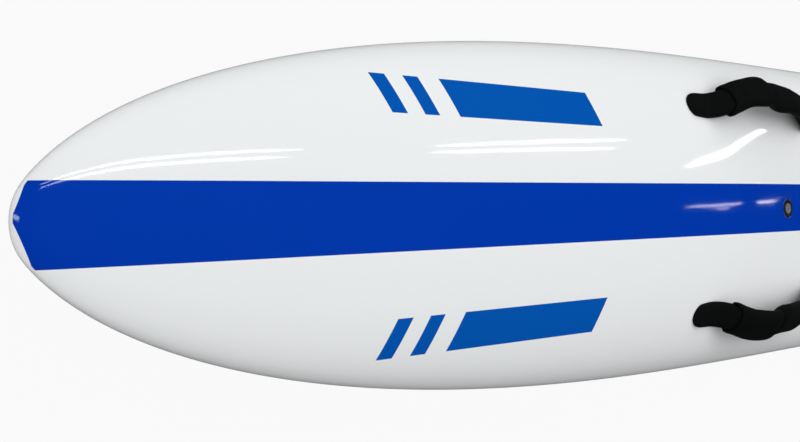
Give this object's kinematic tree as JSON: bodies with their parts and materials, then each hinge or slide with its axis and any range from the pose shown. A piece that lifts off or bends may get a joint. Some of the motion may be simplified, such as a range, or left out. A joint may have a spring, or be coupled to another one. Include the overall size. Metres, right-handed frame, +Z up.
{
  "type": "rescue paddleboard",
  "caption": "Long prone-paddled rescue board with a domed gloss deck, centre stripe, padded carrying handles, vent plug, knee pads and a sliding fin.",
  "frame": {"origin": "on the flat of the bottom at the board's mid-length, on the middle line", "axes": "+X from nose to tail, +Y to the rider's right hand side when facing the nose, +Z up through the deck"},
  "size_m": [3.2, 0.5714, 0.3709],
  "materials": {
    "foam_core": "expanded polystyrene beads",
    "cedar": "raw sawn",
    "deck_gloss": "gloss coat with a blue centre stripe",
    "hull_gloss": "gloss coat",
    "pad_foam": "grooved closed-cell foam",
    "black_plastic": "moulded",
    "seal_rubber": "moulded",
    "vent_grey": "moulded",
    "fin_plastic": "moulded, satin",
    "stainless": "passivated",
    "brass_plate": "milled",
    "webbing": "woven webbing",
    "handle_neoprene": "knit-faced neoprene over foam"
  },
  "bodies": {
    "board": {"core_port": "foam_core", "core_starboard": "foam_core", "stringer": "cedar", "deck_skin": "deck_gloss", "hull_skin": "hull_gloss", "knee_pad_port": "pad_foam", "knee_pad_starboard": "pad_foam", "vent_body": "black_plastic", "fin_box": "black_plastic", "front_port_strap": "webbing", "front_port_boot_fore": "handle_neoprene", "front_port_insert_fore": "black_plastic", "front_port_washer_fore": "stainless", "front_port_screw_fore": "stainless", "front_port_boot_aft": "handle_neoprene", "front_port_insert_aft": "black_plastic", "front_port_washer_aft": "stainless", "front_port_screw_aft": "stainless", "front_starboard_strap": "webbing", "front_starboard_boot_fore": "handle_neoprene", "front_starboard_insert_fore": "black_plastic", "front_starboard_washer_fore": "stainless", "front_starboard_screw_fore": "stainless", "front_starboard_boot_aft": "handle_neoprene", "front_starboard_insert_aft": "black_plastic", "front_starboard_washer_aft": "stainless", "front_starboard_screw_aft": "stainless", "rear_port_strap": "webbing", "rear_port_boot_fore": "handle_neoprene", "rear_port_insert_fore": "black_plastic", "rear_port_washer_fore": "stainless", "rear_port_screw_fore": "stainless", "rear_port_boot_aft": "handle_neoprene", "rear_port_insert_aft": "black_plastic", "rear_port_washer_aft": "stainless", "rear_port_screw_aft": "stainless", "rear_starboard_strap": "webbing", "rear_starboard_boot_fore": "handle_neoprene", "rear_starboard_insert_fore": "black_plastic", "rear_starboard_washer_fore": "stainless", "rear_starboard_screw_fore": "stainless", "rear_starboard_boot_aft": "handle_neoprene", "rear_starboard_insert_aft": "black_plastic", "rear_starboard_washer_aft": "stainless", "rear_starboard_screw_aft": "stainless"},
    "front_port_grip": {"front_port_grip": "handle_neoprene"},
    "front_starboard_grip": {"front_starboard_grip": "handle_neoprene"},
    "rear_port_grip": {"rear_port_grip": "handle_neoprene"},
    "rear_starboard_grip": {"rear_starboard_grip": "handle_neoprene"},
    "fin": {"fin": "fin_plastic", "fin_pin": "stainless", "fin_screw": "stainless", "fin_nut_plate": "brass_plate"},
    "vent_seal": {"vent_seal": "seal_rubber"},
    "vent_screw": {"vent_screw": "vent_grey"}
  },
  "joints": [
    {"name": "front_port_lean", "type": "hinge", "parent": "board", "child": "front_port_grip", "pos_m": [-0.24998, -0.1773, 0.14249], "axis": [-0.9994, -0.0332, 0.0043], "range_deg": [-6, 30], "stiffness_Nm_per_rad": 0.6, "deforming": ["front_port_strap", "front_port_boot_fore", "front_port_boot_aft"]},
    {"name": "front_starboard_lean", "type": "hinge", "parent": "board", "child": "front_starboard_grip", "pos_m": [-0.24998, 0.1773, 0.14249], "axis": [0.9994, -0.0332, -0.0043], "range_deg": [-6, 30], "stiffness_Nm_per_rad": 0.6, "deforming": ["front_starboard_strap", "front_starboard_boot_fore", "front_starboard_boot_aft"]},
    {"name": "rear_port_lean", "type": "hinge", "parent": "board", "child": "rear_port_grip", "pos_m": [0.86008, -0.17011, 0.1123], "axis": [-0.9983, -0.0471, 0.0335], "range_deg": [-6, 30], "stiffness_Nm_per_rad": 0.6, "deforming": ["rear_port_strap", "rear_port_boot_fore", "rear_port_boot_aft"]},
    {"name": "rear_starboard_lean", "type": "hinge", "parent": "board", "child": "rear_starboard_grip", "pos_m": [0.86008, 0.17011, 0.1123], "axis": [0.9983, -0.0471, -0.0335], "range_deg": [-6, 30], "stiffness_Nm_per_rad": 0.6, "deforming": ["rear_starboard_strap", "rear_starboard_boot_fore", "rear_starboard_boot_aft"]},
    {"name": "vent_lift", "type": "slide", "parent": "board", "child": "vent_seal", "axis": [0.0619, 0, 0.9981], "range_m": [0, 0.003]},
    {"name": "vent_turn", "type": "hinge", "parent": "vent_seal", "child": "vent_screw", "pos_m": [-0.155, 0, 0.1467], "axis": [0.0619, 0, 0.9981], "range_deg": [0, 720]},
    {"name": "fin_slide", "type": "slide", "parent": "board", "child": "fin", "axis": [0.9979, 0, 0.0654], "range_m": [-0.034, 0.055]}
  ],
  "couplings": [
    {"joint": "vent_lift", "follows": "vent_turn", "m_per_rad": 0.00023873}
  ]
}
